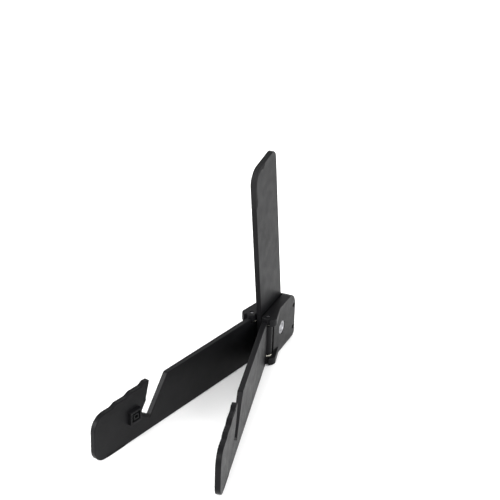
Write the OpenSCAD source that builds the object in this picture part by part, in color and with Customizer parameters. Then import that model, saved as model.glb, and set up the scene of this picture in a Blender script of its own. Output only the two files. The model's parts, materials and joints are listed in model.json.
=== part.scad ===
// Folding stand that holds a tablet upright: two arms open into a V and a post leans up behind.
// Millimetres. +Z is up, -Y is the front, and the origin is on the ground under the middle.
// Arms are drawn in their own axes: u runs forward along the arm, v outward, h up.

/* [Stance] */
// Angle of each arm from the centre line when the stand is open
arm_angle = 13.2; // [9:0.1:18]
// Forward lean of the open post from the vertical
post_lean = 10; // [6:0.5:12]
// Backward lean of the tablet that the stand holds, from the vertical
tablet_lean = 34.5; // [32:0.5:37]

/* [Arms] */
// Distance from the point where the arms' lines cross to the arms' front ends
arm_reach = 139.8; // [130:0.2:150]
// Thickness of the arm and post plates
plate_t = 2.8; // [2.4:0.1:3]
// Height of the arm's top edge behind the notch
arm_h = 26; // [24:0.5:27]
// Height of the arm's top edge at its front end
front_h = 25.4; // [24:0.2:26]
// Radius of the top front corner
top_front_r = 8; // [5:0.5:9]
// Radius of the bottom front corner
bottom_front_r = 7; // [4:0.5:8]
// Distance between the rounded steps along the front top edge
step_pitch = 10.1; // [8:0.1:10.3]
// Height that each step climbs
step_rise = 1.05; // [0.4:0.05:1.1]

/* [Notch] */
// Distance from the arms' crossing point to the tablet's front bottom edge
notch_reach = 106.8; // [102:0.2:110]
// Height of the tablet's front bottom edge above the ground
notch_h = 12.6; // [11:0.1:14]
// Distance from the tablet's glass to the slot's rear wall, square to the tablet
notch_back = 8.1; // [7:0.1:9]
// Gap between the tablet's glass and the lower part of the hook
hook_gap = 0.8; // [0.8:0.1:1.2]
// Length up the tablet that the hook follows before it opens out
hook_follow = 7; // [5:0.2:8]
// Backward lean of the hook's upper part from the vertical
hook_lean = 15.5; // [12:0.5:16]
// Thickness of the liner under the tablet
liner_floor = 1.2; // [1:0.1:1.6]
// Thickness of the liner on the hook
liner_wall = 0.5; // [0.4:0.1:0.6]

/* [Post] */
// Length of the post from its pivot to its top end
post_l = 103.6; // [98:0.2:104.4]
// Half of the post's width
post_half = 13.4; // [12.6:0.1:13.4]
// Radius of the padded top front corner
post_front_r = 8; // [6:0.5:9]
// Radius of the top rear corner
post_rear_r = 5; // [3:0.5:6]
// Thickness of the rubber pad on the top front corner
tip_pad_t = 1.8; // [1.4:0.1:2]

/* [Hub] */
// Width of the slot that the post swings in
slot_w = 4; // [3.9:0.1:4.4]
// Thickness of each cheek beside the slot
cheek_t = 5; // [4.8:0.1:6]
// Height of the hub's top face
hub_top = 27.6; // [27:0.1:29]
// Distance from the post pivot to the hub's rear face
hub_rear = 19; // [18.5:0.5:22]
// Radius of the hub's top rear corner
hub_top_r = 9; // [6:0.5:10]
// Height of the lugs above and below each arm's knuckle
lug_t = 4.2; // [3.6:0.1:5]

/* [Catch] */
// Distance from the arms' crossing point to the middle of the catch
catch_reach = 112.3; // [112.3:0.1:115]
// Height of the middle of the catch
catch_h = 14.1; // [12:0.1:16]
// Length of the square frame along the arm
catch_l = 8; // [7.4:0.1:8]
// Height of the square frame
catch_w = 7.2; // [6.8:0.1:9]
// Distance that the frame stands off the arm
catch_rise = 1.7; // [1.5:0.05:1.8]

/* [Hidden] */
$fn = 96;
eps = 0.01;
big = 60;

// ground clearance of the hard parts, which the rubber feet make up
wall_bottom = 0.2;

// arm hinges
pin_r = 1;
pin_fit = 0.02;
knuckle_r = 2.6;
knuckle_fit = 0.06;
lug_r = 3.4;
hinge_washer_t = 0.4;
face_gap = 0.05;
plate_gap = 0.5;
washer_margin = 0.1;
pin_v = knuckle_r - plate_t / 2;
pin_x = slot_w / 2 + knuckle_r;
pin_u = (pin_x - pin_v * cos(arm_angle)) / sin(arm_angle);
pin_y = pin_v * sin(arm_angle) - pin_u * cos(arm_angle);
pin_bottom = 1;
pin_top = hub_top - 0.4;
knuckle_low = wall_bottom + lug_t + hinge_washer_t + 2 * face_gap;
knuckle_high = hub_top - lug_t - hinge_washer_t - 2 * face_gap;
plate_back = pin_u + lug_r + plate_gap;
wide_open = 30;
stop_gap = 0.15;
flank_r = 5.2;
flank_taper = 11;
lug_root = 4;

// post pivot
pivot_z = 14;
bolt_r = 2;
bolt_fit = 0.05;
bolt_head_r = 3.7;
bolt_head_t = 1.6;
bolt_socket_r = 1.5;
bolt_socket_t = 1;
bolt_inset = 0.3;
head_pocket = 2.2;
head_fit = 0.3;
thread_fit = 0.02;
nut_fit = 0.1;
spring_t = 0.4;
nut_flats = 7;
nut_t = 2.2;
nut_pocket = 2.4;
friction_washer_r = 5.5;
friction_washer_t = 0.5;
swing_gap = 0.6;
rest_gap = 0.1;

// hub screws
hub_front = pin_y + knuckle_r + 0.6;
hub_bottom_r = 3;
screw_y = 16.4;
screw_z = [6, 19.5];
screw_r = 1.2;
screw_fit = 0.03;
screw_head_r = 2.1;
screw_head_t = 1.5;
screw_head_fit = 0.1;
screw_inset = 0.2;
screw_socket_r = 0.9;
screw_socket_t = 0.8;
screw_tip = 4.6;
cheek_out = slot_w / 2 + cheek_t;
head_x = screw_inset - cheek_out;

// front top edge
front_flat = 1.4;
step_points = 60;
hook_tip_r = 0.7;

// rubber parts
arm_foot_from = 118.4;
arm_foot_to = 131.4;
arm_foot_top = 1.3;
hub_foot_top = 1;
hub_foot_inset = 1.2;
hub_foot_back = 1.6;
hub_foot_front = 9;
hub_foot_bar = 3;
key_r = 0.9;
tip_pad_top = 4;
tip_pad_front = 12;
top_key = 2.4;
front_key = 9;

// catch
frame_wall = 1.3;
insert_base = 0.6;
insert_gap = 0.1;
socket_l = 3.7;
socket_w = 3.1;
socket_rise = 1.6;
socket_wall = 0.8;
socket_depth = 1.4;
peg_l = 1.7;
peg_w = 1.1;
peg_rise = 2.6;
shoulder_l = 3.2;
shoulder_w = 2.6;
shoulder_rise = 1.4;

// tablet plane, in arm axes: "along" climbs the tablet and "across" goes back through it
climb_u = -sin(tablet_lean) / cos(arm_angle);
climb_h = cos(tablet_lean);
across_u = -cos(tablet_lean) / cos(arm_angle);
across_h = -sin(tablet_lean);
function slot_point(along, across) = [
    notch_reach + along * climb_u + across * across_u,
    notch_h + along * climb_h + across * across_h
];

// hook and notch
hook_bend = slot_point(hook_follow, -hook_gap);
function hook_wall(h) = hook_bend[0] - (h - hook_bend[1]) * tan(hook_lean);

// top edge of the front of the arm: rounded steps that climb from the front corner to the hook
steps_from = arm_reach - top_front_r - front_flat;
hook_h = front_h + 3 * step_rise;
hook_u = hook_wall(hook_h) + hook_tip_r;
function stair(x) = x - 0.36 * sin(360 * x) + 0.12 * sin(720 * x) - 0.02 * sin(1080 * x);
function step_h(u) = front_h + step_rise * stair((steps_from - u) / step_pitch);

// the whole stand moves along Y so that its box is centred on the origin
stand_front = arm_reach * cos(arm_angle) + plate_t / 2 * sin(arm_angle);
centre_y = (stand_front - hub_rear) / 2;

black = [0.09, 0.09, 0.1];
rubber_black = [0.05, 0.05, 0.05];
steel = [0.7, 0.7, 0.72];
nylon = [0.85, 0.85, 0.8];

// ---- placing ----

module centred() {
    translate([0, centre_y, 0]) children();
}

module on_left() {
    mirror([1, 0, 0]) children();
}

// turns arm axes (u, v, h) into the right arm's open position
module arm_frame() {
    rotate([0, 0, arm_angle - 90]) children();
}

// raises an outline drawn in (u, h) into a plate that spans v from v0 to v0 + t
module arm_plate(v0, t) {
    translate([0, v0 + t, 0]) rotate([90, 0, 0]) linear_extrude(t) children();
}

// raises an outline drawn in (y, z) into a plate that spans x from x0 to x0 + t
module side_plate(x0, t) {
    translate([x0, 0, 0]) rotate([90, 0, 90]) linear_extrude(t) children();
}

// a rod or bore along X, from x0 over the length l
module cross_rod(x0, l, y, z, r) {
    translate([x0, y, z]) rotate([0, 90, 0]) cylinder(r = r, h = l);
}

// post axes (f forward, s along the post) in the open position, as a (y, z) outline
module post_outline_frame() {
    translate([0, pivot_z]) rotate(post_lean) mirror([1, 0]) children();
}

// ---- arms ----

module arm_front_outline() {
    translate([arm_reach - bottom_front_r, wall_bottom + bottom_front_r]) circle(bottom_front_r);
    translate([arm_reach - top_front_r, front_h - top_front_r]) circle(top_front_r);
    translate([arm_reach - 2 * bottom_front_r, wall_bottom + bottom_front_r])
        square([2 * bottom_front_r, front_h - top_front_r - wall_bottom - bottom_front_r]);
    translate([steps_from, wall_bottom]) square([arm_reach - bottom_front_r - steps_from, bottom_front_r]);
    translate([steps_from, wall_bottom])
        square([arm_reach - top_front_r - steps_from, front_h - wall_bottom]);
}

module arm_blade_outline() {
    polygon([
        for (i = [0 : step_points])
            let (u = steps_from - i * (steps_from - hook_u) / step_points)
            [u, step_h(u)],
        for (turn = [15 : 15 : 75])
            [hook_u - hook_tip_r * sin(turn), step_h(hook_u) - hook_tip_r * (1 - cos(turn))],
        [hook_u - hook_tip_r, wall_bottom],
        [steps_from + eps, wall_bottom],
        [steps_from + eps, front_h]
    ]);
}

module notch_outline() {
    polygon([
        slot_point(-liner_floor, -hook_gap),
        hook_bend,
        [hook_wall(big), big],
        slot_point(2 * big, notch_back),
        slot_point(-liner_floor, notch_back)
    ]);
}

module arm_outline() {
    difference() {
        union() {
            arm_front_outline();
            arm_blade_outline();
            translate([plate_back, wall_bottom]) square([hook_u - plate_back, arm_h - wall_bottom]);
        }
        notch_outline();
    }
    translate([pin_u, knuckle_low]) square([plate_back - pin_u + eps, knuckle_high - knuckle_low]);
}

module arm() {
    difference() {
        union() {
            arm_plate(-plate_t / 2, plate_t) arm_outline();
            translate([pin_u, pin_v, knuckle_low])
                cylinder(r = knuckle_r, h = knuckle_high - knuckle_low);
            difference() {
                catch_block(catch_l, catch_w, -eps, catch_rise);
                catch_block(catch_l - 2 * frame_wall, catch_w - 2 * frame_wall, 0, 2 * catch_rise);
            }
        }
        translate([pin_u, pin_v, 0]) cylinder(r = pin_r + knuckle_fit, h = big);
        arm_foot();
    }
}

module notch_liner() {
    arm_plate(-plate_t / 2, plate_t)
        polygon([
            slot_point(-liner_floor, -hook_gap),
            hook_bend,
            slot_point(hook_follow, liner_wall - hook_gap),
            slot_point(0, liner_wall - hook_gap),
            slot_point(0, notch_back),
            slot_point(-liner_floor, notch_back)
        ]);
}

module arm_foot() {
    translate([arm_foot_from, -plate_t / 2, 0])
        cube([arm_foot_to - arm_foot_from, plate_t, arm_foot_top]);
}

module hinge_pin() {
    translate([pin_x, pin_y, pin_bottom]) cylinder(r = pin_r, h = pin_top - pin_bottom);
}

module hinge_washers() {
    for (z = [wall_bottom + lug_t + face_gap, hub_top - lug_t - hinge_washer_t - face_gap])
        translate([pin_x, pin_y, z])
            difference() {
                cylinder(r = knuckle_r - washer_margin, h = hinge_washer_t);
                translate([0, 0, -eps]) cylinder(r = pin_r + knuckle_fit, h = big);
            }
}

// ---- catch ----

// a square block centred on the catch that stands off the arm's inner face, between two heights
module catch_block(l, w, from, to) {
    translate([catch_reach - l / 2, -plate_t / 2 - to, catch_h - w / 2]) cube([l, to - from, w]);
}

module insert_plate() {
    margin = 2 * (frame_wall + insert_gap);
    catch_block(catch_l - margin, catch_w - margin, 0, insert_base);
}

module catch_socket() {
    difference() {
        union() {
            insert_plate();
            catch_block(socket_l, socket_w, eps, socket_rise);
        }
        catch_block(
            socket_l - 2 * socket_wall, socket_w - 2 * socket_wall,
            socket_rise - socket_depth, socket_rise + 1
        );
    }
}

module catch_peg() {
    insert_plate();
    catch_block(shoulder_l, shoulder_w, eps, shoulder_rise);
    catch_block(peg_l, peg_w, 2 * eps, peg_rise);
}

// ---- hub ----

module lug_outline() {
    difference() {
        intersection() {
            union() {
                translate([pin_x, pin_y]) {
                    circle(lug_r);
                    stop_flank();
                }
                polygon([
                    [0, pin_y], [pin_x + flank_r, pin_y], [cheek_out, pin_y + flank_taper],
                    [cheek_out, hub_front + lug_root], [0, hub_front + lug_root]
                ]);
            }
            translate([slot_w / 2, -big]) square([big, 2 * big]);
        }
        translate([pin_x, pin_y]) circle(pin_r + pin_fit);
    }
}

// the arm's outer face meets the straight side of this flank when the arm is wide open
module stop_flank() {
    intersection() {
        circle(flank_r);
        rotate(wide_open - 90) translate([0, plate_t / 2 - pin_v + stop_gap]) square(big);
    }
}

module cheek_outline() {
    difference() {
        union() {
            translate([hub_front, wall_bottom])
                square([hub_rear - hub_top_r - hub_front, hub_top - wall_bottom]);
            translate([hub_front, wall_bottom + hub_bottom_r])
                square([hub_rear - hub_front, hub_top - hub_top_r - wall_bottom - hub_bottom_r]);
            translate([hub_front, wall_bottom])
                square([hub_rear - hub_bottom_r - hub_front, hub_bottom_r + eps]);
            translate([hub_rear - hub_top_r, hub_top - hub_top_r]) circle(hub_top_r);
            translate([hub_rear - hub_bottom_r, wall_bottom + hub_bottom_r]) circle(hub_bottom_r);
        }
        for (z = screw_z) translate([screw_y, z]) circle(screw_r + screw_fit);
    }
}

// rear wall between the cheeks, with the lip that stops the open post
module bridge_outline() {
    difference() {
        intersection() {
            cheek_outline();
            translate([0, wall_bottom]) square(big);
        }
        translate([0, pivot_z]) circle(post_half + swing_gap);
        post_outline_frame() translate([-post_half - rest_gap, 0]) square([big, big]);
    }
}

module hub_half() {
    difference() {
        union() {
            side_plate(slot_w / 2, cheek_t) cheek_outline();
            side_plate(0, slot_w / 2 + eps) bridge_outline();
            for (z = [wall_bottom, hub_top - lug_t])
                translate([0, 0, z]) linear_extrude(lug_t) lug_outline();
        }
        cross_rod(0, big, 0, pivot_z, bolt_r + bolt_fit);
        linear_extrude(hub_foot_top) hub_foot_outline();
    }
}

module hub_right() {
    color(black) centred() difference() {
        hub_half();
        translate([cheek_out - nut_pocket, 0, pivot_z]) rotate([0, 90, 0])
            cylinder(r = (nut_flats / 2 + nut_fit) / cos(30), h = big, $fn = 6);
    }
}

module hub_left() {
    color(black) centred() on_left() difference() {
        hub_half();
        cross_rod(cheek_out - head_pocket, big, 0, pivot_z, bolt_head_r + head_fit);
        for (z = screw_z)
            cross_rod(-head_x - screw_head_t, big, screw_y, z, screw_head_r + screw_head_fit);
    }
}

module hub_screws() {
    color(steel) centred() for (z = screw_z) {
        difference() {
            cross_rod(head_x, screw_head_t, screw_y, z, screw_head_r);
            cross_rod(head_x - eps, screw_socket_t, screw_y, z, screw_socket_r, $fn = 6);
        }
        cross_rod(head_x + screw_head_t - eps, cheek_out + screw_tip - screw_head_t, screw_y, z, screw_r);
    }
}

module hub_foot_outline() {
    for (s = [-1, 1])
        translate([s * (slot_w / 2 + cheek_t / 2), 0])
            translate([-cheek_t / 2 + hub_foot_inset, -hub_foot_front])
                square([cheek_t - 2 * hub_foot_inset, hub_rear - hub_foot_back + hub_foot_front]);
    translate([-slot_w / 2 - hub_foot_inset - eps, hub_rear - hub_foot_back - hub_foot_bar])
        square([slot_w + 2 * (hub_foot_inset + eps), hub_foot_bar]);
}

module hub_foot() {
    color(rubber_black) centred() linear_extrude(hub_foot_top) hub_foot_outline();
}

// ---- post ----

module post_body_outline() {
    circle(post_half);
    translate([-post_half, 0]) square([2 * post_half, post_l - post_front_r]);
    translate([post_rear_r - post_half, 0]) square([2 * post_half - post_rear_r - post_front_r, post_l]);
    translate([post_rear_r - post_half, post_l - post_rear_r]) circle(post_rear_r);
    translate([-post_half, 0]) square([post_rear_r, post_l - post_rear_r]);
    translate([post_half - post_front_r, post_l - post_front_r]) circle(post_front_r);
}

// rubber strip round the padded corner, held by two round keys
module tip_pad_outline() {
    corner = [post_half - post_front_r, post_l - post_front_r];
    inner_r = post_front_r - tip_pad_t;
    difference() {
        union() {
            translate(corner) circle(post_front_r);
            translate([corner[0] - tip_pad_top, corner[1]]) square([tip_pad_top, post_front_r]);
            translate([corner[0], corner[1] - tip_pad_front]) square([post_front_r, tip_pad_front]);
        }
        translate(corner) circle(inner_r);
        translate([corner[0] - big, corner[1] - big]) square([big + inner_r, big]);
        translate([corner[0] - big, corner[1] - eps]) square([big, inner_r + eps]);
    }
    translate([corner[0] + inner_r, corner[1] - front_key]) circle(key_r);
    translate([corner[0] - top_key, corner[1] + inner_r]) circle(key_r);
}

module post() {
    color(black) centred() difference() {
        side_plate(-plate_t / 2, plate_t) post_outline_frame() difference() {
            post_body_outline();
            tip_pad_outline();
        }
        cross_rod(-big, 2 * big, 0, pivot_z, bolt_r + bolt_fit);
    }
}

module post_tip_pad() {
    color(rubber_black) centred()
        side_plate(-plate_t / 2, plate_t) post_outline_frame() tip_pad_outline();
}

module post_pivot_bolt() {
    seat = cheek_out - head_pocket + spring_t + 2 * face_gap;
    color(steel) centred() {
        difference() {
            cross_rod(-seat - bolt_head_t, bolt_head_t, 0, pivot_z, bolt_head_r);
            cross_rod(-seat - bolt_head_t - eps, bolt_socket_t, 0, pivot_z, bolt_socket_r, $fn = 6);
        }
        cross_rod(-seat - eps, seat + cheek_out - bolt_inset, 0, pivot_z, bolt_r);
    }
}

module post_pivot_nut() {
    color(steel) centred() difference() {
        translate([cheek_out - nut_pocket + thread_fit, 0, pivot_z]) rotate([0, 90, 0])
            cylinder(r = nut_flats / 2 / cos(30), h = nut_t, $fn = 6);
        cross_rod(0, big, 0, pivot_z, bolt_r + thread_fit);
    }
}

module post_friction_washers() {
    color(nylon) centred() for (x = [-slot_w / 2 + face_gap, slot_w / 2 - face_gap - friction_washer_t])
        difference() {
            cross_rod(x, friction_washer_t, 0, pivot_z, friction_washer_r);
            cross_rod(-big, 2 * big, 0, pivot_z, bolt_r + bolt_fit);
        }
}

module post_spring_washer() {
    spring_r = bolt_head_r - washer_margin;
    color(steel) centred() difference() {
        cross_rod(-cheek_out + head_pocket - spring_t - face_gap, spring_t, 0, pivot_z, spring_r);
        cross_rod(-big, 2 * big, 0, pivot_z, bolt_r + bolt_fit);
    }
}

// ---- right side and its mirror image ----

module right_arm() {
    color(black) centred() arm_frame() arm();
}

module left_arm() {
    color(black) centred() on_left() arm_frame() arm();
}

module right_notch_liner() {
    color(rubber_black) centred() arm_frame() notch_liner();
}

module left_notch_liner() {
    color(rubber_black) centred() on_left() arm_frame() notch_liner();
}

module right_foot_pad() {
    color(rubber_black) centred() arm_frame() arm_foot();
}

module left_foot_pad() {
    color(rubber_black) centred() on_left() arm_frame() arm_foot();
}

module right_hinge_pin() {
    color(steel) centred() hinge_pin();
}

module left_hinge_pin() {
    color(steel) centred() on_left() hinge_pin();
}

module right_hinge_washers() {
    color(nylon) centred() hinge_washers();
}

module left_hinge_washers() {
    color(nylon) centred() on_left() hinge_washers();
}

module right_catch_peg() {
    color(black) centred() arm_frame() catch_peg();
}

module left_catch_socket() {
    color(black) centred() on_left() arm_frame() catch_socket();
}

hub_left();
hub_right();
hub_screws();
hub_foot();
post();
post_tip_pad();
post_pivot_bolt();
post_pivot_nut();
post_friction_washers();
post_spring_washer();
left_arm();
left_notch_liner();
left_foot_pad();
left_hinge_pin();
left_hinge_washers();
left_catch_socket();
right_arm();
right_notch_liner();
right_foot_pad();
right_hinge_pin();
right_hinge_washers();
right_catch_peg();
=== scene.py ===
"""Folding tablet stand: moulded pieces, fasteners, rubber parts, materials, floor, light and camera.

Sizes are in millimetres and become metres as each mesh is placed. Every handed shape is drawn for the
right side and mirrored for the left. Arm shapes use the arm's own axes: x, called u, runs forward along
the arm, y, called h, up from the ground, and z inward through the plate from its middle.
"""
import json
import math

import bmesh
import bpy
from mathutils import Matrix, Vector


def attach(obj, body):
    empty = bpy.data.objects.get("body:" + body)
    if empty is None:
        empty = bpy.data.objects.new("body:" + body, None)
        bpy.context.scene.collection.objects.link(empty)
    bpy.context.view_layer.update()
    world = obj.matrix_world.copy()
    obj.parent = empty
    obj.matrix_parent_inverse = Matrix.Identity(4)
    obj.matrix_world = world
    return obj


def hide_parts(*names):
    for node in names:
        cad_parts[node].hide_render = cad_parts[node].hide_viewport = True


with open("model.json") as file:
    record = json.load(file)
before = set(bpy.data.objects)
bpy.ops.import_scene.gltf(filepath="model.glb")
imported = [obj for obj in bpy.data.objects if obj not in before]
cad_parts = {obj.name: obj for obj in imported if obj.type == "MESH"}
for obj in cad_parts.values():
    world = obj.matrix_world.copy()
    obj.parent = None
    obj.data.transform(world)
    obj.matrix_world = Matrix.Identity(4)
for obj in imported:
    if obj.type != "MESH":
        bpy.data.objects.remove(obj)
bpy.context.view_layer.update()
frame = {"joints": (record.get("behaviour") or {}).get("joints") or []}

MM = 0.001
JOINTS = {joint["name"]: joint for joint in frame["joints"]}
SIDES = (("left", True), ("right", False))

# ---- driving sizes ----

ARM_ANGLE = math.radians(13.2)
POST_LEAN = math.radians(10)
TABLET_LEAN = math.radians(34.5)
PLATE = 2.8
FACE = PLATE / 2
BOTTOM = 0.2
SLOT = 4.0
CHEEK = 5.0
HUB_TOP = 27.6
HUB_REAR = 19.0
LUG = 4.2
GAP = 0.05

ARM_REACH = 139.8
ARM_H = 26.0
FRONT_H = 25.4
FRONT_TOP_R = 8.0
FRONT_BOTTOM_R = 7.0
FRONT_FLAT = 1.4
STEP_PITCH = 10.1
STEP_RISE = 1.05
STEPS_FROM = ARM_REACH - FRONT_TOP_R - FRONT_FLAT
# shares of one, two and three waves a step, which round the steps
STEP_WAVES = (-0.36, 0.12, -0.02)
TOP_EDGE_PARTS = 60
PLATE_END_R = 1.2
KNUCKLE_GAP_R = 0.8

NOTCH_REACH = 106.8
NOTCH_H = 12.6
NOTCH_BACK = 8.1
HOOK_GAP = 0.8
HOOK_FOLLOW = 7.0
HOOK_LEAN = math.radians(15.5)
HOOK_TIP_R = 0.7
HOOK_CORNER_R = 0.55
HOOK_BEND_R = 2.0
SLOT_FOOT_R = 0.4
SLOT_MOUTH_R = 1.6
LINER_FLOOR = 1.2
LINER_WALL = 0.5
LINER_IN = 0.04
LINER_EDGE = 0.14

ARM_FOOT_FROM = 118.4
ARM_FOOT_TO = 131.4
ARM_FOOT_TOP = 1.3
ARM_FOOT_R = 0.3
ARM_FOOT_EDGE = 0.22

POST_L = 103.6
POST_HALF = 13.4
POST_FRONT_R = 8.0
POST_REAR_R = 5.0
TIP_PAD = 1.8
TIP_PAD_DOWN = 12.0
TIP_PAD_BACK = 4.0
PIVOT_Z = JOINTS["post_fold"]["pos_m"][2] / MM
CENTRE_Y = JOINTS["post_fold"]["pos_m"][1] / MM

PIN_X = JOINTS["right_arm_swing"]["pos_m"][0] / MM
PIN_Y = JOINTS["right_arm_swing"]["pos_m"][1] / MM - CENTRE_Y
PIN_R = 1.0
PIN_BOTTOM = 1.0
PIN_TOP = HUB_TOP - 0.4
KNUCKLE_R = 2.6
LUG_R = 3.4
FLANK_R = 5.2
FLANK_TAPER = 11.0
HINGE_WASHER = 0.4
# the pin's place outward of the plate's middle, and forward of where the two plates' middles meet
PIN_V = KNUCKLE_R - FACE
PIN_U = (PIN_X - PIN_V * math.cos(ARM_ANGLE)) / math.sin(ARM_ANGLE)
KNUCKLE_LOW = BOTTOM + LUG + HINGE_WASHER + 2 * GAP
KNUCKLE_HIGH = HUB_TOP - LUG - HINGE_WASHER - 2 * GAP
PLATE_BACK = PIN_U + LUG_R + 0.5
WIDE_OPEN = math.radians(30)
PIN_PLAY = 0.02
KNUCKLE_PLAY = 0.06
PIN_CHAMFER = 0.3
KNUCKLE_CHAMFER = 0.3

CATCH_REACH = 112.3
CATCH_H = 14.1
CATCH_L = 8.0
CATCH_W = 7.2
CATCH_RISE = 1.7
FRAME_WALL = 1.3
FRAME_SUNK = 0.4
FRAME_R = 0.6
FRAME_INNER_R = 0.35
FRAME_EDGE = 0.2
INSERT_BASE = 0.6
INSERT_PLAY = 0.1
INSERT_LAP = 0.3
INSERT_R = 0.3
INSERT_EDGE = 0.08
# squares as length, width and corner radius
SOCKET = (3.7, 3.1, 0.35)
SOCKET_HOLE = (2.1, 1.5, 0.2)
SOCKET_RISE = 1.6
SOCKET_FLOOR = 0.2
SOCKET_EDGE = 0.15
SHOULDER = (3.2, 2.6, 0.4)
SHOULDER_FROM = 0.2
SHOULDER_RISE = 1.4
PEG = (1.7, 1.1, 0.3)
PEG_RISE = 2.6
PEG_EDGE = 0.24

CHEEK_OUT = SLOT / 2 + CHEEK
HUB_FRONT = PIN_Y + KNUCKLE_R + 0.6
HUB_TOP_R = 9.0
HUB_BOTTOM_R = 3.0
BRIDGE_FRONT = 8.0
BRIDGE_LAP = 0.9
BRIDGE_EDGE = 0.2
POST_ROOM = 0.6
POST_STOP_ROOM = 0.1
FLANK_ROOM = 0.15
SCREW_Y = 16.4
SCREW_Z = (6.0, 19.5)
SCREW_R = 1.2
SCREW_HEAD_R = 2.1
SCREW_HEAD_X = 0.2 - CHEEK_OUT
SCREW_HEAD = 1.5
SCREW_END_X = 4.8
SCREW_PLAY = 0.03
BOLT_PLAY = 0.05
BOLT_R = 2.0
BOLT_HEAD_R = 3.7
BOLT_HEAD = 1.6
BOLT_SEAT_X = -5.3
BOLT_END_X = CHEEK_OUT - 0.3
SPRING_X = -5.25
SPRING_T = 0.4
HEAD_POCKET = 2.2
NUT_POCKET = 2.4
NUT_X = CHEEK_OUT - NUT_POCKET + 0.02
NUT_T = 2.2
NUT_FLATS = 7.0
THREAD_PLAY = 0.02
THREAD_MOUTH = 0.3
FRICTION_R = 5.5
FRICTION_T = 0.5
HUB_FOOT_TOP = 1.0
HUB_FOOT_IN = SLOT / 2 + 1.2
HUB_FOOT_OUT = CHEEK_OUT - 1.2
HUB_FOOT_FRONT = -9.0
HUB_FOOT_BACK = HUB_REAR - 1.6
HUB_FOOT_BAR = 3.0
HUB_FOOT_R = 0.8
HUB_FOOT_REAR_R = 1.2
HUB_FOOT_EDGE = 0.15
FOOT_GROOVES = 10
FOOT_GROOVE = 0.6
FOOT_GROOVE_PITCH = 2.2
FOOT_GROOVE_DEEP = 0.25

# how far a cutting shape reaches past what it cuts, and a length past the whole of the hub
PAST = 1
FAR = 40
# room round a rubber part in its seat
SEAT_ROOM = 0.03
EDGE = 0.34
EDGE_PARTS = 2
HUB_EDGE = 0.4
SEAT = 0.02
BORE_TURN = math.radians(2)
SMOOTH_ANGLE = math.radians(35)
FLAT_ANGLE = math.radians(0.05)
FLAT_AREA = 4e-6
STRONG = 16384
ARC_STEP = math.radians(7.5)


# ---- outlines ----

def arc(cx, cy, r, start, end):
    """Points along an arc, with both ends."""
    steps = max(2, round(abs(end - start) / ARC_STEP))
    return [
        (cx + r * math.cos(start + (end - start) * i / steps),
         cy + r * math.sin(start + (end - start) * i / steps))
        for i in range(steps + 1)
    ]


def circle(cx, cy, r, count=64):
    """Points of a circle, or of the regular polygon with this many corners."""
    return [
        (cx + r * math.cos(2 * math.pi * i / count), cy + r * math.sin(2 * math.pi * i / count))
        for i in range(count)
    ]


def hexagon(flats):
    """A hexagon about the origin, from its size across the flats."""
    return circle(0, 0, flats / 2 / math.cos(math.radians(30)), 6)


def rounded(corners):
    """Turns corners (x, y, radius) into an outline whose corners are arcs."""
    points = []
    count = len(corners)
    for i, (x, y, r) in enumerate(corners):
        if r <= 0:
            points.append((x, y))
            continue
        here = Vector((x, y))
        before = (Vector(corners[i - 1][:2]) - here).normalized()
        after = (Vector(corners[(i + 1) % count][:2]) - here).normalized()
        half = before.angle(after) / 2
        centre = here + (before + after).normalized() * (r / math.sin(half))
        reach = r / math.tan(half)
        first = here + before * reach - centre
        last = here + after * reach - centre
        start = math.atan2(first.y, first.x)
        turn = math.atan2(last.y, last.x) - start
        turn = (turn + math.pi) % (2 * math.pi) - math.pi
        points += arc(centre.x, centre.y, r, start, start + turn)
    return points


def slot_point(along, across):
    """A point by the tablet's lower edge: along climbs the tablet, across goes back through it."""
    u = -(along * math.sin(TABLET_LEAN) + across * math.cos(TABLET_LEAN)) / math.cos(ARM_ANGLE)
    h = along * math.cos(TABLET_LEAN) - across * math.sin(TABLET_LEAN)
    return NOTCH_REACH + u, NOTCH_H + h


def slot_wall(h, across):
    """The u of a slot wall at the height h."""
    along = (h - NOTCH_H + across * math.sin(TABLET_LEAN)) / math.cos(TABLET_LEAN)
    return slot_point(along, across)[0]


HOOK_BEND = slot_point(HOOK_FOLLOW, -HOOK_GAP)


def hook_wall(h):
    """The u of the hook's inner wall at the height h, above its bend."""
    return HOOK_BEND[0] - (h - HOOK_BEND[1]) * math.tan(HOOK_LEAN)


def step_h(u):
    """Height of the top edge of the arm's front, which climbs in rounded steps towards the hook."""
    climb = (STEPS_FROM - u) / STEP_PITCH
    turn = 2 * math.pi * climb
    for count, share in enumerate(STEP_WAVES, 1):
        climb += share * math.sin(count * turn)
    return FRONT_H + STEP_RISE * climb


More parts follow.
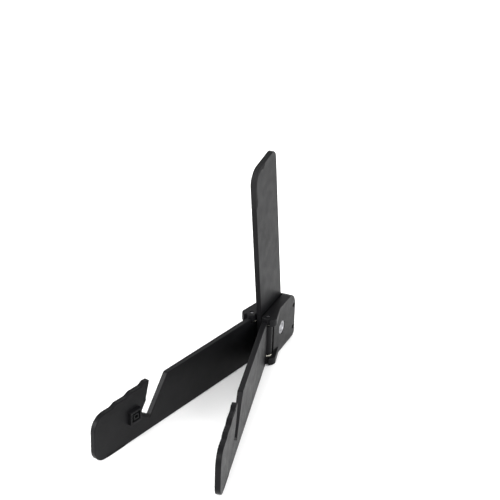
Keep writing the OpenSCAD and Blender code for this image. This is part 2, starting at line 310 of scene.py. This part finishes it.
def arm_outline():
    """The plate from its rear corner along the ground, over the front and the hook, and back."""
    hook_u = hook_wall(FRONT_H + 3 * STEP_RISE) + HOOK_TIP_R
    tip_h = step_h(hook_u)
    stepped = STEPS_FROM - hook_u
    steps = [STEPS_FROM - i * stepped / TOP_EDGE_PARTS for i in range(TOP_EDGE_PARTS + 1)]
    return rounded(
        [
            (PLATE_BACK, BOTTOM, PLATE_END_R),
            (ARM_FOOT_FROM, BOTTOM, 0),
            (ARM_FOOT_FROM, ARM_FOOT_TOP, 0),
            (ARM_FOOT_TO, ARM_FOOT_TOP, 0),
            (ARM_FOOT_TO, BOTTOM, 0),
            (ARM_REACH, BOTTOM, FRONT_BOTTOM_R),
            (ARM_REACH, FRONT_H, FRONT_TOP_R),
        ]
        + [(u, step_h(u), 0) for u in steps]
        + [
            (hook_wall(tip_h), tip_h, HOOK_CORNER_R),
            (*HOOK_BEND, HOOK_BEND_R),
            (*slot_point(-LINER_FLOOR, -HOOK_GAP), SLOT_FOOT_R),
            (*slot_point(-LINER_FLOOR, NOTCH_BACK), SLOT_FOOT_R),
            (slot_wall(ARM_H, NOTCH_BACK), ARM_H, SLOT_MOUTH_R),
            (PLATE_BACK, ARM_H, PLATE_END_R),
            (PLATE_BACK, KNUCKLE_HIGH - SEAT, KNUCKLE_GAP_R),
            (PIN_U, KNUCKLE_HIGH - SEAT, 0),
            (PIN_U, KNUCKLE_LOW + SEAT, 0),
            (PLATE_BACK, KNUCKLE_LOW + SEAT, KNUCKLE_GAP_R),
        ]
    )


# ---- mesh tools ----

def new_object(name, mesh):
    obj = bpy.data.objects.new(name, mesh)
    bpy.context.scene.collection.objects.link(obj)
    return obj


def evaluated_mesh(obj):
    bpy.context.view_layer.update()
    graph = bpy.context.evaluated_depsgraph_get()
    return bpy.data.meshes.new_from_object(obj.evaluated_get(graph), depsgraph=graph)


def extruded(outlines, low, high, edge=0.0):
    """A solid with the outlines' shape in x and y, from low to high in z, with rounded rims."""
    curve = bpy.data.curves.new("outline", "CURVE")
    curve.dimensions = "2D"
    curve.fill_mode = "BOTH"
    for outline in outlines:
        spline = curve.splines.new("POLY")
        spline.points.add(len(outline) - 1)
        for point, (x, y) in zip(spline.points, outline):
            point.co = (x, y, 0, 1)
        spline.use_cyclic_u = True
    curve.extrude = (high - low) / 2 - edge
    curve.bevel_depth = edge
    curve.bevel_resolution = EDGE_PARTS if edge else 0
    curve.offset = -edge
    obj = new_object("outline", curve)
    mesh = evaluated_mesh(obj)
    bpy.data.objects.remove(obj)
    mesh.transform(Matrix.Translation((0, 0, (low + high) / 2)))
    body = bmesh.new()
    body.from_mesh(mesh)
    bmesh.ops.remove_doubles(body, verts=body.verts, dist=0.0005)
    bmesh.ops.recalc_face_normals(body, faces=body.faces)
    body.to_mesh(mesh)
    body.free()
    return mesh


def turned(profile, count=48):
    """A solid of revolution about z from (radius, z) points, closed on the axis or into a ring."""
    body = bmesh.new()
    rings = []
    for r, z in profile:
        if r <= 0:
            rings.append([body.verts.new((0, 0, z))])
            continue
        rings.append([
            body.verts.new((r * math.cos(2 * math.pi * i / count), r * math.sin(2 * math.pi * i / count), z))
            for i in range(count)
        ])
    pairs = list(zip(rings, rings[1:]))
    if len(rings[0]) > 1 and len(rings[-1]) > 1:
        pairs.append((rings[-1], rings[0]))
    for low, high in pairs:
        for i in range(count):
            j = (i + 1) % count
            if len(low) == 1:
                body.faces.new((low[0], high[j], high[i]))
            elif len(high) == 1:
                body.faces.new((low[i], low[j], high[0]))
            else:
                body.faces.new((low[i], low[j], high[j], high[i]))
    bmesh.ops.recalc_face_normals(body, faces=body.faces)
    mesh = bpy.data.meshes.new("turned")
    body.to_mesh(mesh)
    body.free()
    return mesh


def rod(r, low, high, chamfer, count=48):
    """A round bar about z with chamfered ends."""
    return turned([
        (0, low), (r - chamfer, low), (r, low + chamfer),
        (r, high - chamfer), (r - chamfer, high), (0, high),
    ], count)


def joined(base, add=(), cut=()):
    """Boolean union and difference of meshes, as one mesh without doubled points."""
    obj = new_object("base", base)
    tools = []
    for operation, meshes in (("UNION", add), ("DIFFERENCE", cut)):
        for mesh in meshes:
            tool = new_object("tool", mesh)
            tools.append(tool)
            modifier = obj.modifiers.new("join", "BOOLEAN")
            modifier.operation = operation
            modifier.solver = "EXACT"
            modifier.object = tool
    result = evaluated_mesh(obj)
    for item in [obj] + tools:
        bpy.data.objects.remove(item)
    body = bmesh.new()
    body.from_mesh(result)
    bmesh.ops.remove_doubles(body, verts=body.verts, dist=0.001)
    bmesh.ops.dissolve_degenerate(body, edges=body.edges, dist=0.001)
    body.to_mesh(result)
    body.free()
    return result


ARM_MATRIX = Matrix((
    (math.sin(ARM_ANGLE), 0, -math.cos(ARM_ANGLE), 0),
    (-math.cos(ARM_ANGLE), 0, -math.sin(ARM_ANGLE), CENTRE_Y),
    (0, 1, 0, 0),
    (0, 0, 0, 1),
))
SIDE_MATRIX = Matrix((
    (0, 0, 1, 0),
    (1, 0, 0, CENTRE_Y),
    (0, 1, 0, 0),
    (0, 0, 0, 1),
))
PLAN_MATRIX = Matrix.Translation((0, CENTRE_Y, 0))
POST_MATRIX = SIDE_MATRIX @ Matrix.Translation((0, PIVOT_Z, 0)) @ Matrix.Rotation(POST_LEAN, 4, "Z")
MIRROR_X = Matrix.Scale(-1, 4, (1, 0, 0))


def piece(name, mesh, placing, body, replaced, slot_name, material, left=False):
    """Places a millimetre mesh in the frame as a finished, smooth-shaded piece of the stand."""
    mesh = mesh.copy()
    mesh.transform(Matrix.Scale(MM, 4) @ (MIRROR_X if left else Matrix.Identity(4)) @ placing)
    work = bmesh.new()
    work.from_mesh(mesh)
    bmesh.ops.recalc_face_normals(work, faces=work.faces)
    for edge in work.edges:
        edge.smooth = len(edge.link_faces) == 2 and edge.calc_face_angle() < SMOOTH_ANGLE
    flat = []
    for face in work.faces:
        face.smooth = True
        face.material_index = 0
        flat.append(face.calc_area() > FLAT_AREA or any(
            len(edge.link_faces) == 2 and edge.calc_face_angle() < FLAT_ANGLE for edge in face.edges
        ))
    work.to_mesh(mesh)
    work.free()
    # flat faces rule the shading, so that the roundings run into them without streaks
    strength = mesh.attributes.new("__mod_weightednormals_faceweight", "INT", "FACE")
    strength.data.foreach_set("value", [STRONG if is_flat else 0 for is_flat in flat])
    mesh.name = name
    mesh.materials.clear()
    mesh.materials.append(material)
    obj = new_object(name, mesh)
    weighted = obj.modifiers.new("shade", "WEIGHTED_NORMAL")
    weighted.keep_sharp = True
    weighted.use_face_influence = True
    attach(obj, body)
    if replaced:
        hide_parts(*replaced)


# ---- materials ----

def moulded(name, colour, roughness, grain=0.00035, bump=0.12, variation=0.25):
    """Moulded plastic or rubber: fine spark-eroded grain, faint flow marks and uneven sheen."""
    material = bpy.data.materials.new(name)
    material.use_nodes = True
    tree = material.node_tree
    nodes, links = tree.nodes, tree.links
    shader = nodes["Principled BSDF"]
    shader.inputs["Specular IOR Level"].default_value = 0.08
    place = nodes.new("ShaderNodeTexCoord")

    def noise(scale, detail):
        node = nodes.new("ShaderNodeTexNoise")
        node.inputs["Scale"].default_value = scale
        node.inputs["Detail"].default_value = detail
        node.inputs["Roughness"].default_value = 0.6
        links.new(place.outputs["Object"], node.inputs["Vector"])
        return node.outputs["Fac"]

    def ramp(source, low, high):
        node = nodes.new("ShaderNodeValToRGB")
        for stop, position, shade in zip(node.color_ramp.elements, (0.3, 0.7), (low, high)):
            stop.position = position
            stop.color = (*shade, 1)
        links.new(source, node.inputs["Fac"])
        return node.outputs["Color"]

    flow = noise(45, 3)
    dark = tuple(c * (1 - variation) for c in colour)
    light = tuple(c * (1 + variation) for c in colour)
    links.new(ramp(flow, dark, light), shader.inputs["Base Color"])

    sheen = ramp(noise(160, 4), (roughness - 0.05,) * 3, (roughness + 0.06,) * 3)
    links.new(sheen, shader.inputs["Roughness"])

    grain_bump = nodes.new("ShaderNodeBump")
    grain_bump.inputs["Strength"].default_value = bump
    grain_bump.inputs["Distance"].default_value = grain
    links.new(noise(2600, 2), grain_bump.inputs["Height"])
    sink = nodes.new("ShaderNodeBump")
    sink.inputs["Strength"].default_value = 0.08
    sink.inputs["Distance"].default_value = 0.0012
    links.new(noise(28, 1), sink.inputs["Height"])
    links.new(sink.outputs["Normal"], grain_bump.inputs["Normal"])
    links.new(grain_bump.outputs["Normal"], shader.inputs["Normal"])
    return material


def machined(name, colour, roughness):
    """Turned steel: fine streaks from the tool and small differences in sheen."""
    material = bpy.data.materials.new(name)
    material.use_nodes = True
    tree = material.node_tree
    nodes, links = tree.nodes, tree.links
    shader = nodes["Principled BSDF"]
    shader.inputs["Metallic"].default_value = 1.0
    place = nodes.new("ShaderNodeTexCoord")
    streaks = nodes.new("ShaderNodeTexNoise")
    streaks.inputs["Scale"].default_value = 2600
    streaks.inputs["Detail"].default_value = 3
    stretch = nodes.new("ShaderNodeMapping")
    stretch.inputs["Scale"].default_value = (1.0, 0.08, 1.0)
    links.new(place.outputs["Object"], stretch.inputs["Vector"])
    links.new(stretch.outputs["Vector"], streaks.inputs["Vector"])
    patches = nodes.new("ShaderNodeTexNoise")
    patches.inputs["Scale"].default_value = 300
    links.new(place.outputs["Object"], patches.inputs["Vector"])
    tone = nodes.new("ShaderNodeValToRGB")
    tone.color_ramp.elements[0].color = (*(c * 0.75 for c in colour), 1)
    tone.color_ramp.elements[1].color = (*colour, 1)
    links.new(patches.outputs["Fac"], tone.inputs["Fac"])
    links.new(tone.outputs["Color"], shader.inputs["Base Color"])
    sheen = nodes.new("ShaderNodeMapRange")
    sheen.inputs["To Min"].default_value = roughness - 0.08
    sheen.inputs["To Max"].default_value = roughness + 0.1
    links.new(streaks.outputs["Fac"], sheen.inputs["Value"])
    links.new(sheen.outputs["Result"], shader.inputs["Roughness"])
    marks = nodes.new("ShaderNodeBump")
    marks.inputs["Strength"].default_value = 0.15
    marks.inputs["Distance"].default_value = 0.0001
    links.new(streaks.outputs["Fac"], marks.inputs["Height"])
    links.new(marks.outputs["Normal"], shader.inputs["Normal"])
    return material


BLACK = moulded("satin_black_plastic", (0.0042, 0.0042, 0.0047), 0.4)
CATCH_BLACK = moulded("smooth_black_plastic", (0.004, 0.004, 0.0044), 0.36, grain=0.0002, bump=0.06)
RUBBER = moulded("black_rubber", (0.008, 0.008, 0.0083), 0.72, grain=0.0005, bump=0.25)
NYLON = moulded("natural_nylon", (0.62, 0.6, 0.52), 0.4, grain=0.0002, bump=0.05, variation=0.06)
STEEL = machined("turned_steel", (0.3, 0.3, 0.315), 0.38)


# ---- arms ----

def bar(x0, x1, y0, y1, r):
    """A rectangle with rounded corners."""
    return rounded([(x0, y0, r), (x1, y0, r), (x1, y1, r), (x0, y1, r)])


def catch_square(length, width, r):
    """A rounded square about the catch's middle."""
    return bar(
        CATCH_REACH - length / 2, CATCH_REACH + length / 2,
        CATCH_H - width / 2, CATCH_H + width / 2, r,
    )


def arm_mesh():
    """The plate with its hinge knuckle, the pin's bore and the catch's square frame."""
    plate = extruded([arm_outline()], -FACE, FACE, EDGE)
    knuckle = rod(KNUCKLE_R, KNUCKLE_LOW, KNUCKLE_HIGH, KNUCKLE_CHAMFER)
    bore = turned([(0, -PAST), (PIN_R + KNUCKLE_PLAY, -PAST), (PIN_R + KNUCKLE_PLAY, FAR), (0, FAR)])
    upright = Matrix.Translation((PIN_U, 0, -PIN_V)) @ Matrix.Rotation(math.radians(-90), 4, "X")
    knuckle.transform(upright)
    bore.transform(upright @ Matrix.Rotation(BORE_TURN, 4, "Z"))
    outer = catch_square(CATCH_L, CATCH_W, FRAME_R)
    inner = catch_square(CATCH_L - 2 * FRAME_WALL, CATCH_W - 2 * FRAME_WALL, FRAME_INNER_R)
    rim = extruded([outer, inner], FACE - FRAME_SUNK, FACE + CATCH_RISE, FRAME_EDGE)
    return joined(plate, add=[knuckle, rim], cut=[bore])


def insert_base():
    """The flat square under the socket or the peg, inside the arm's frame."""
    trim = 2 * FRAME_WALL + 2 * INSERT_PLAY
    outline = catch_square(CATCH_L - trim, CATCH_W - trim, INSERT_R)
    return extruded([outline], FACE, FACE + INSERT_BASE, INSERT_EDGE)


def socket_mesh():
    """The left arm's insert, with the hole that the peg enters."""
    ring = extruded([catch_square(*SOCKET)], FACE + INSERT_LAP, FACE + SOCKET_RISE, SOCKET_EDGE)
    hole = extruded([catch_square(*SOCKET_HOLE)], FACE + SOCKET_FLOOR, FACE + SOCKET_RISE + PAST)
    return joined(insert_base(), add=[ring], cut=[hole])


def peg_mesh():
    """The right arm's insert, with the peg on its shoulder."""
    shoulder = extruded([catch_square(*SHOULDER)], FACE + SHOULDER_FROM, FACE + SHOULDER_RISE, SOCKET_EDGE)
    peg = extruded([catch_square(*PEG)], FACE + INSERT_LAP, FACE + PEG_RISE, PEG_EDGE)
    return joined(insert_base(), add=[shoulder, peg])


def liner_mesh():
    """The rubber lining of the slot: a floor, and a thin wall up the hook's side."""
    outline = rounded([
        (*slot_point(-LINER_FLOOR, -HOOK_GAP), 0.35),
        (*HOOK_BEND, 0.1),
        (*slot_point(HOOK_FOLLOW, LINER_WALL - HOOK_GAP), 0.2),
        (*slot_point(0, LINER_WALL - HOOK_GAP), 0.3),
        (*slot_point(0, NOTCH_BACK), 0),
        (*slot_point(-LINER_FLOOR, NOTCH_BACK), SLOT_FOOT_R),
    ])
    return extruded([outline], -FACE + LINER_IN, FACE - LINER_IN, LINER_EDGE)


def arm_foot_mesh():
    """The rubber strip in the arm's lower edge, which stands on the ground."""
    start, end = ARM_FOOT_FROM + SEAT_ROOM, ARM_FOOT_TO - SEAT_ROOM
    outline = bar(start, end, 0, ARM_FOOT_TOP - SEAT, ARM_FOOT_R)
    return extruded([outline], -FACE, FACE, ARM_FOOT_EDGE)


arm, liner, foot = arm_mesh(), liner_mesh(), arm_foot_mesh()
for side, is_left in SIDES:
    place = (ARM_MATRIX, f"{side}_arm")
    piece(f"{side}_arm_moulding", arm, *place, [f"{side}_arm"], "black_plastic", BLACK, is_left)
    piece(f"{side}_slot_liner", liner, *place, [f"{side}_notch_liner"], "rubber", RUBBER, is_left)
    piece(f"{side}_arm_foot", foot, *place, [f"{side}_foot_pad"], "rubber", RUBBER, is_left)
catch = ("catch_plastic", CATCH_BLACK)
piece("catch_socket", socket_mesh(), ARM_MATRIX, "left_arm", ["left_catch_socket"], *catch, left=True)
piece("catch_peg", peg_mesh(), ARM_MATRIX, "right_arm", ["right_catch_peg"], *catch)


# ---- post ----

# post axes: x towards the back and y up along the post, with the pivot at the origin
PAD_X = POST_FRONT_R - POST_HALF
PAD_Y = POST_L - POST_FRONT_R
PAD_INNER_R = POST_FRONT_R - TIP_PAD
KEY_R = 0.9
KEY_DOWN = 9.0
KEY_BACK = 2.4
KEY_PLAY = 0.02


def pad_outline(proud=0.0):
    """Rubber strip round the post's top front corner, drawn this much proud of the post."""
    inner = arc(PAD_X, PAD_Y, PAD_INNER_R, math.pi / 2, math.pi)
    outer = arc(PAD_X, PAD_Y, POST_FRONT_R + proud, math.pi, math.pi / 2)
    top, front = POST_L + proud, -POST_HALF - proud
    low, rear = PAD_Y - TIP_PAD_DOWN, PAD_X + TIP_PAD_BACK
    return (
        [(front, low)] + outer + [(rear, top), (rear, PAD_Y + PAD_INNER_R)]
        + inner + [(PAD_X - PAD_INNER_R, low)]
    )


def pad_keys(r, low, high, edge=0.0):
    """The two round keys that hold the strip in the post."""
    places = ((PAD_X - PAD_INNER_R, PAD_Y - KEY_DOWN), (PAD_X + KEY_BACK, PAD_Y + PAD_INNER_R))
    return [extruded([circle(x, y, r, 32)], low, high, edge) for x, y in places]


def post_mesh():
    """The blade with its pivot bore, cut away at the top front corner for the rubber strip."""
    outline = (
        arc(0, 0, POST_HALF, -math.pi, 0)
        + arc(POST_HALF - POST_REAR_R, POST_L - POST_REAR_R, POST_REAR_R, 0, math.pi / 2)
        + arc(PAD_X, PAD_Y, POST_FRONT_R, math.pi / 2, math.pi)
    )
    blade = extruded([outline, circle(0, 0, BOLT_R + BOLT_PLAY)], -FACE, FACE, EDGE)
    reach = 5
    cuts = [extruded([pad_outline(reach)], -reach, reach)] + pad_keys(KEY_R + KEY_PLAY, -reach, reach)
    return joined(blade, cut=cuts)


def tip_pad_mesh():
    strip = extruded([pad_outline()], -FACE, FACE, EDGE)
    return joined(strip, add=pad_keys(KEY_R, -FACE + SEAT_ROOM, FACE - SEAT_ROOM, 0.1))


piece("post_blade", post_mesh(), POST_MATRIX, "post", ["post"], "black_plastic", BLACK)
piece("post_rubber_tip", tip_pad_mesh(), POST_MATRIX, "post", ["post_tip_pad"], "rubber", RUBBER)


# ---- hub ----

def lug_mesh(low, high):
    """One ear that holds a hinge pin, with the flank that stops the arm when it is wide open."""
    flank_at = WIDE_OPEN - math.pi / 2
    step = FACE - PIN_V + FLANK_ROOM
    inner = SLOT / 2 + SEAT
    start = -math.acos((inner - PIN_X) / LUG_R)
    points = arc(PIN_X, PIN_Y, LUG_R, start, flank_at + math.asin(step / LUG_R))
    points += arc(PIN_X, PIN_Y, FLANK_R, flank_at + math.asin(step / FLANK_R), 0)
    taper = (PIN_X + FLANK_R - CHEEK_OUT) / FLANK_TAPER
    back = PIN_Y + FLANK_TAPER + 2
    points += [(CHEEK_OUT - 2 * taper, back), (inner, back)]
    return extruded([points], low, high, HUB_EDGE)


def hub_side(front, low, high, inset=0.0, edge=HUB_EDGE):
    """The hub's side outline from y = front to its rear, raised from low to high across the hub."""
    bottom, top, rear = BOTTOM + inset, HUB_TOP - inset, HUB_REAR - inset
    outline = rounded([
        (front, bottom, 0), (rear, bottom, HUB_BOTTOM_R), (rear, top, HUB_TOP_R), (front, top, 0),
    ])
    return extruded([outline], low, high, edge)


def bridge_mesh():
    """The wall behind the post, hollowed by the space that the post swings in."""
    swing = extruded([circle(0, PIVOT_Z, POST_HALF + POST_ROOM, 96)], -PAST, SLOT)
    above = 60
    swept = extruded([bar(-FAR, POST_HALF + POST_STOP_ROOM, 0, above, 0)], -PAST, SLOT)
    swept.transform(Matrix.Translation((0, PIVOT_Z, 0)) @ Matrix.Rotation(POST_LEAN, 4, "Z"))
    wall = hub_side(BRIDGE_FRONT, 0, SLOT / 2 + BRIDGE_LAP, SEAT, BRIDGE_EDGE)
    return joined(wall, cut=[swing, swept])


def boring(steps, mouth, y=0.0, z=PIVOT_Z):
    """A tool for a hole across the hub: steps of (radius, depth) out to a chamfered mouth."""
    points, low = [(0, -PAST)], -PAST
    for r, high in steps:
        points += [(r, low), (r, high)]
        low = high
    r, high = steps[-1]
    points[-1] = (r, high - mouth)
    points += [(r + mouth + PAST, high + PAST), (0, high + PAST)]
    tool = turned(points)
    tool.transform(Matrix.Translation((y, z, 0)) @ Matrix.Rotation(BORE_TURN, 4, "Z"))
    return tool


def hub_foot_outline(grow=0.0):
    """A U that runs along both cheeks and joins across the hub's rear."""
    inner, outer = HUB_FOOT_IN - grow, HUB_FOOT_OUT + grow
    front, back = HUB_FOOT_FRONT - grow, HUB_FOOT_BACK + grow
    bar_front = HUB_FOOT_BACK - HUB_FOOT_BAR - grow
    half = [(inner, bar_front, HUB_FOOT_R), (inner, front, HUB_FOOT_R), (outer, front, HUB_FOOT_R)]
    half.append((outer, back, HUB_FOOT_REAR_R))
    return rounded([(-x, y, r) for x, y, r in reversed(half)] + half)


def hub_mesh(left):
    """One half of the housing, with the left one's screw heads or the right one's nut pocket."""
    lugs = [lug_mesh(BOTTOM + SEAT, BOTTOM + LUG), lug_mesh(HUB_TOP - LUG, HUB_TOP - SEAT)]
    groove = extruded([hub_foot_outline(SEAT_ROOM)], -PAST, HUB_FOOT_TOP)
    pin_r = PIN_R + PIN_PLAY
    pin_hole = turned([
        (0, BOTTOM - 1), (pin_r + 1.2, BOTTOM - 1), (pin_r, BOTTOM + 0.2),
        (pin_r, HUB_TOP - 0.2), (pin_r + 1.2, HUB_TOP + 1), (0, HUB_TOP + 1),
    ], 32)
    pin_hole.transform(Matrix.Translation((PIN_X, PIN_Y, 0)))
    for shape in lugs + [groove, pin_hole]:
        shape.transform(SIDE_MATRIX.inverted() @ PLAN_MATRIX)
    cuts = [groove, pin_hole]
    shank, bolt = SCREW_R + SCREW_PLAY, BOLT_R + BOLT_PLAY
    if left:
        screw = [(shank, -SCREW_HEAD_X - SCREW_HEAD), (SCREW_HEAD_R + 0.1, CHEEK_OUT)]
        cuts.append(boring([(bolt, CHEEK_OUT - HEAD_POCKET), (BOLT_HEAD_R + 0.3, CHEEK_OUT)], 0.3))
    else:
        screw = [(shank, CHEEK_OUT)]
        cuts.append(boring([(bolt, CHEEK_OUT)], 0.1))
        pocket = extruded([hexagon(NUT_FLATS + 0.2)], CHEEK_OUT - NUT_POCKET, 9)
        pocket.transform(Matrix.Translation((0, PIVOT_Z, 0)) @ Matrix.Rotation(math.radians(90), 4, "Z"))
        cuts.append(pocket)
    cuts += [boring(screw, 0.15, SCREW_Y, z) for z in SCREW_Z]
    return joined(hub_side(HUB_FRONT, SLOT / 2, CHEEK_OUT), add=[bridge_mesh()] + lugs, cut=cuts)


def hub_foot_mesh():
    """Rubber foot with grooves across its underside."""
    pad = extruded([hub_foot_outline()], 0, HUB_FOOT_TOP - SEAT, HUB_FOOT_EDGE)
    grooves, reach = [], 10
    for i in range(FOOT_GROOVES):
        y = HUB_FOOT_FRONT + FOOT_GROOVE_PITCH * (i + 0.8)
        groove = bar(-reach, reach, y, y + FOOT_GROOVE, 0)
        grooves.append(extruded([groove], -PAST, FOOT_GROOVE_DEEP))
    return joined(pad, cut=grooves)


piece("hub_left_half", hub_mesh(True), SIDE_MATRIX, "hub", ["hub_left"], "black_plastic", BLACK, True)
piece("hub_right_half", hub_mesh(False), SIDE_MATRIX, "hub", ["hub_right"], "black_plastic", BLACK)
piece("hub_rubber_foot", hub_foot_mesh(), PLAN_MATRIX, "hub", ["hub_foot"], "rubber", RUBBER)


# ---- fasteners, pins and washers ----

def laid_across(y, z):
    """Lays a shape turned about z along the X axis, through the point (y, z) of the side view."""
    return Matrix.Translation((0, CENTRE_Y + y, z)) @ Matrix.Rotation(math.radians(90), 4, "Y")


def thread(r, start, end, pitch, depth):
    """Profile points of the rings of a thread, from start to end along the shank."""
    points = []
    for i in range(int((end - start) / pitch)):
        z = start + i * pitch
        points += [(r, z + pitch * 0.15), (r - depth, z + pitch * 0.5), (r, z + pitch * 0.85)]
    return points


def socket_head_screw(head_z, head_r, head, shank_r, end_z, flats, deep, threaded, pitch):
    """Chamfered head with a hexagon socket, plain shank and ringed thread, turned about z."""
    neck = head_z + head
    body = turned(
        [(0, head_z), (head_r - 0.25, head_z), (head_r, head_z + 0.25), (head_r, neck - 0.1)]
        + [(head_r - 0.1, neck), (shank_r, neck)]
        + thread(shank_r, end_z - 0.4 - threaded, end_z - 0.4, pitch, 0.12 * shank_r)
        + [(shank_r, end_z - 0.4), (shank_r - 0.35, end_z), (0, end_z)]
    )
    return joined(body, cut=[extruded([hexagon(flats)], head_z - 1, head_z + deep)])


def nut_mesh():
    """Hexagon nut with turned corners and a countersunk bore."""
    corner = NUT_FLATS / 2 / math.cos(math.radians(30))
    inner, top = BOLT_R + THREAD_PLAY, NUT_X + NUT_T
    blank = extruded([hexagon(NUT_FLATS)], NUT_X, top)
    turning = turned([
        (NUT_FLATS / 2, top + 0.01), (corner + 0.2, top - 0.35),
        (corner + 0.2, top + PAST), (NUT_FLATS / 2, top + PAST),
    ], 64)
    bore = turned([
        (0, NUT_X - PAST), (inner, NUT_X - PAST), (inner, top - THREAD_MOUTH),
        (inner + THREAD_MOUTH, top), (inner + THREAD_MOUTH, top + PAST), (0, top + PAST),
    ])
    return joined(blank, cut=[turning, bore])


def ring_mesh(inner, outer, low, high, edge):
    """A flat ring about z with chamfered rims."""
    return turned([
        (inner, low + edge), (inner + edge, low), (outer - edge, low), (outer, low + edge),
        (outer, high - edge), (outer - edge, high), (inner + edge, high), (inner, high - edge),
    ])


def spring_washer_mesh():
    """Ring with a slanting split."""
    gap = math.radians(6)
    outline = arc(0, 0, BOLT_HEAD_R - 0.1, gap, 2 * math.pi - gap)
    outline += arc(0, 0, BOLT_R + BOLT_PLAY, 2 * math.pi - 2 * gap, 0)
    return extruded([outline], SPRING_X, SPRING_X + SPRING_T, 0.05)


screw = socket_head_screw(
    SCREW_HEAD_X, SCREW_HEAD_R, SCREW_HEAD, SCREW_R, SCREW_END_X,
    flats=1.5, deep=0.8, threaded=5.0, pitch=0.45,
)
for name, z in zip(("hub_screw_lower", "hub_screw_upper"), SCREW_Z):
    piece(name, screw, laid_across(SCREW_Y, z), "hub", ["hub_screws"], "steel", STEEL)
bolt = socket_head_screw(
    BOLT_SEAT_X - BOLT_HEAD, BOLT_HEAD_R, BOLT_HEAD, BOLT_R, BOLT_END_X,
    flats=2.6, deep=1.0, threaded=3.5, pitch=0.7,
)
pivot = (laid_across(0, PIVOT_Z), "hub")
piece("pivot_bolt", bolt, *pivot, ["post_pivot_bolt"], "steel", STEEL)
piece("pivot_nut", nut_mesh(), *pivot, ["post_pivot_nut"], "steel", STEEL)
piece("pivot_spring_washer", spring_washer_mesh(), *pivot, ["post_spring_washer"], "steel", STEEL)
friction = ring_mesh(BOLT_R + BOLT_PLAY, FRICTION_R, SLOT / 2 - GAP - FRICTION_T, SLOT / 2 - GAP, 0.1)
for side, is_left in SIDES:
    replaced = ["post_friction_washers"]
    piece(f"{side}_friction_washer", friction, *pivot, replaced, "nylon", NYLON, is_left)
    hinge = Matrix.Translation((PIN_X, CENTRE_Y + PIN_Y, 0))
    pin = rod(PIN_R, PIN_BOTTOM, PIN_TOP, PIN_CHAMFER, 32)
    piece(f"{side}_pin", pin, hinge, "hub", [f"{side}_hinge_pin"], "steel", STEEL, is_left)
    for level, low in (("lower", BOTTOM + LUG + GAP), ("upper", HUB_TOP - LUG - HINGE_WASHER - GAP)):
        washer = ring_mesh(PIN_R + KNUCKLE_PLAY, KNUCKLE_R - 0.1, low, low + HINGE_WASHER, 0.08)
        replaced = [f"{side}_hinge_washers"]
        piece(f"{side}_{level}_washer", washer, hinge, "hub", replaced, "nylon", NYLON, is_left)


# ---- floor, light and camera ----

FLOOR_REACH = 6.0
WORLD_STRENGTH = 1.02
LIGHT_TARGET = (0, 0, 0.03)
LENS = 100.2
SENSOR = 36
EYE = (239.1, CENTRE_Y - 603.0, 385.0)
AZIMUTH = math.radians(22.68)
ELEVATION = math.radians(26.745)
ROLL = math.radians(1.885)


def studio():
    """A wide pale floor under an even white sky."""
    white = bpy.data.materials.new("pale_floor")
    white.use_nodes = True
    shader = white.node_tree.nodes["Principled BSDF"]
    shader.inputs["Base Color"].default_value = (0.9, 0.9, 0.9, 1)
    shader.inputs["Roughness"].default_value = 0.7
    mesh = bpy.data.meshes.new("floor")
    corners = [(x * FLOOR_REACH, y * FLOOR_REACH, 0) for x, y in ((-1, -1), (1, -1), (1, 1), (-1, 1))]
    mesh.from_pydata(corners, [], [(0, 1, 2, 3)])
    floor = new_object("floor", mesh)
    floor.data.materials.append(white)
    world = bpy.data.worlds.new("studio")
    world.use_nodes = True
    world.node_tree.nodes["Background"].inputs["Color"].default_value = (1, 1, 1, 1)
    world.node_tree.nodes["Background"].inputs["Strength"].default_value = WORLD_STRENGTH
    bpy.context.scene.world = world
    bpy.context.scene.view_settings.view_transform = "Standard"


def area_light(name, place, size, power):
    """A rectangular lamp that faces the stand, placed in metres, with its power in watts."""
    light = bpy.data.lights.new(name, "AREA")
    light.shape = "RECTANGLE"
    light.size, light.size_y = size
    light.energy = power
    obj = new_object(name, light)
    obj.location = place
    obj.rotation_euler = (Vector(LIGHT_TARGET) - Vector(place)).to_track_quat("-Z", "Y").to_euler()


def camera():
    """The eye stands to the front right, above, and looks down at the stand."""
    data = bpy.data.cameras.new("camera")
    data.sensor_width = SENSOR
    data.lens = LENS
    obj = new_object("camera", data)
    level = math.cos(ELEVATION)
    look = Vector((-math.sin(AZIMUTH) * level, math.cos(AZIMUTH) * level, -math.sin(ELEVATION)))
    turn = look.to_track_quat("-Z", "Y").to_matrix().to_4x4() @ Matrix.Rotation(ROLL, 4, "Z")
    obj.matrix_world = Matrix.Translation(Vector(EYE) * MM) @ turn
    bpy.context.scene.camera = obj


studio()
area_light("key", (-0.8, -0.8, 0.5), size=(0.6, 0.45), power=17)
area_light("top", (0.0, -0.8, 0.95), size=(0.5, 0.3), power=8)
area_light("fill", (1.0, -0.25, 0.55), size=(0.8, 0.6), power=13)
camera()
